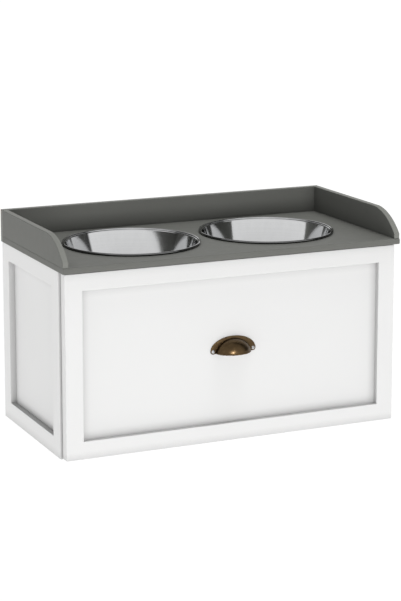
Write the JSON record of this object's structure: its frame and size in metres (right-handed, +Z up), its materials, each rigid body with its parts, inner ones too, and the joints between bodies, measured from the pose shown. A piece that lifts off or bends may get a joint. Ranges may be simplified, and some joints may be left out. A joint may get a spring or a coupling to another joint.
{
  "type": "elevated dog feeder with storage",
  "caption": "Raised pet feeder: grey railed top with lift-out steel bowls over a white framed cabinet whose full-width drawer pulls out on roller runners by a cup handle.",
  "frame": {"origin": "on the floor, under the middle of the whole part's bounding box", "axes": "+Z up, +X to the right as seen from the front, the drawer front faces -Y"},
  "size_m": [0.6, 0.3058, 0.36],
  "materials": {
    "grey_paint": "satin grey lacquer on fibreboard",
    "white_paint": "satin white lacquer on fibreboard",
    "bare_wood": "bare beech dowel",
    "zinc_steel": "bright zinc plate",
    "runner_steel": "white powder coat",
    "bowl_steel": "polished stainless steel",
    "aged_bronze": "dark antique bronze plate, rubbed on the edges",
    "nylon": "natural nylon",
    "clear_rubber": "translucent soft rubber"
  },
  "bodies": {
    "cabinet": {"top_board": "grey_paint", "back_rail": "grey_paint", "left_rail": "grey_paint", "right_rail": "grey_paint", "rail_screws": "zinc_steel", "back_rail_screws": "zinc_steel", "left_side_panel": "white_paint", "left_front_stile": "white_paint", "left_back_stile": "white_paint", "left_top_strip": "white_paint", "left_foot_strip": "white_paint", "right_side_panel": "white_paint", "right_front_stile": "white_paint", "right_back_stile": "white_paint", "right_top_strip": "white_paint", "right_foot_strip": "white_paint", "cabinet_floor": "white_paint", "back_panel": "white_paint", "front_stretcher": "white_paint", "back_stretcher": "white_paint", "cam_locks": "zinc_steel", "cam_bolts": "zinc_steel", "dowels": "bare_wood", "back_nails": "zinc_steel", "top_brackets": "zinc_steel", "bracket_screws": "zinc_steel", "bumpers": "clear_rubber", "left_channel": "runner_steel", "right_channel": "runner_steel", "channel_screws": "zinc_steel", "front_roller_pins": "zinc_steel"},
    "drawer": {"drawer_panel": "white_paint", "drawer_left_stile": "white_paint", "drawer_right_stile": "white_paint", "drawer_top_strip": "white_paint", "drawer_foot_strip": "white_paint", "cup_pull": "aged_bronze", "pull_screws": "zinc_steel", "box_front": "white_paint", "box_left_side": "white_paint", "box_right_side": "white_paint", "box_back": "white_paint", "drawer_base": "white_paint", "box_screws": "zinc_steel", "front_screws": "zinc_steel", "left_track": "runner_steel", "right_track": "runner_steel", "track_screws": "zinc_steel", "rear_roller_pins": "zinc_steel"},
    "front_left_wheel": {"front_left_roller": "nylon"},
    "front_right_wheel": {"front_right_roller": "nylon"},
    "rear_left_wheel": {"rear_left_roller": "nylon"},
    "rear_right_wheel": {"rear_right_roller": "nylon"},
    "left_bowl": {"left_bowl": "bowl_steel"},
    "right_bowl": {"right_bowl": "bowl_steel"}
  },
  "joints": [
    {"name": "drawer_slide", "type": "slide", "parent": "cabinet", "child": "drawer", "axis": [0, -1, 0], "range_m": [0, 0.2]},
    {"name": "left_bowl_lift", "type": "slide", "parent": "cabinet", "child": "left_bowl", "axis": [0, 0, 1], "range_m": [0, 0.12]},
    {"name": "right_bowl_lift", "type": "slide", "parent": "cabinet", "child": "right_bowl", "axis": [0, 0, 1], "range_m": [0, 0.12]},
    {"name": "front_left_spin", "type": "hinge", "parent": "cabinet", "child": "front_left_wheel", "pos_m": [-0.2745, -0.10635, 0.0394], "axis": [1, 0, 0], "continuous": true},
    {"name": "front_right_spin", "type": "hinge", "parent": "cabinet", "child": "front_right_wheel", "pos_m": [0.2745, -0.10635, 0.0394], "axis": [1, 0, 0], "continuous": true},
    {"name": "rear_left_spin", "type": "hinge", "parent": "drawer", "child": "rear_left_wheel", "pos_m": [-0.273, 0.11445, 0.0405], "axis": [1, 0, 0], "continuous": true},
    {"name": "rear_right_spin", "type": "hinge", "parent": "drawer", "child": "rear_right_wheel", "pos_m": [0.273, 0.11445, 0.0405], "axis": [1, 0, 0], "continuous": true}
  ],
  "couplings": [
    {"joint": "front_left_spin", "follows": "drawer_slide", "rad_per_m": 109.89},
    {"joint": "front_right_spin", "follows": "drawer_slide", "rad_per_m": 109.89},
    {"joint": "rear_left_spin", "follows": "drawer_slide", "rad_per_m": 98.039},
    {"joint": "rear_right_spin", "follows": "drawer_slide", "rad_per_m": 98.039}
  ]
}
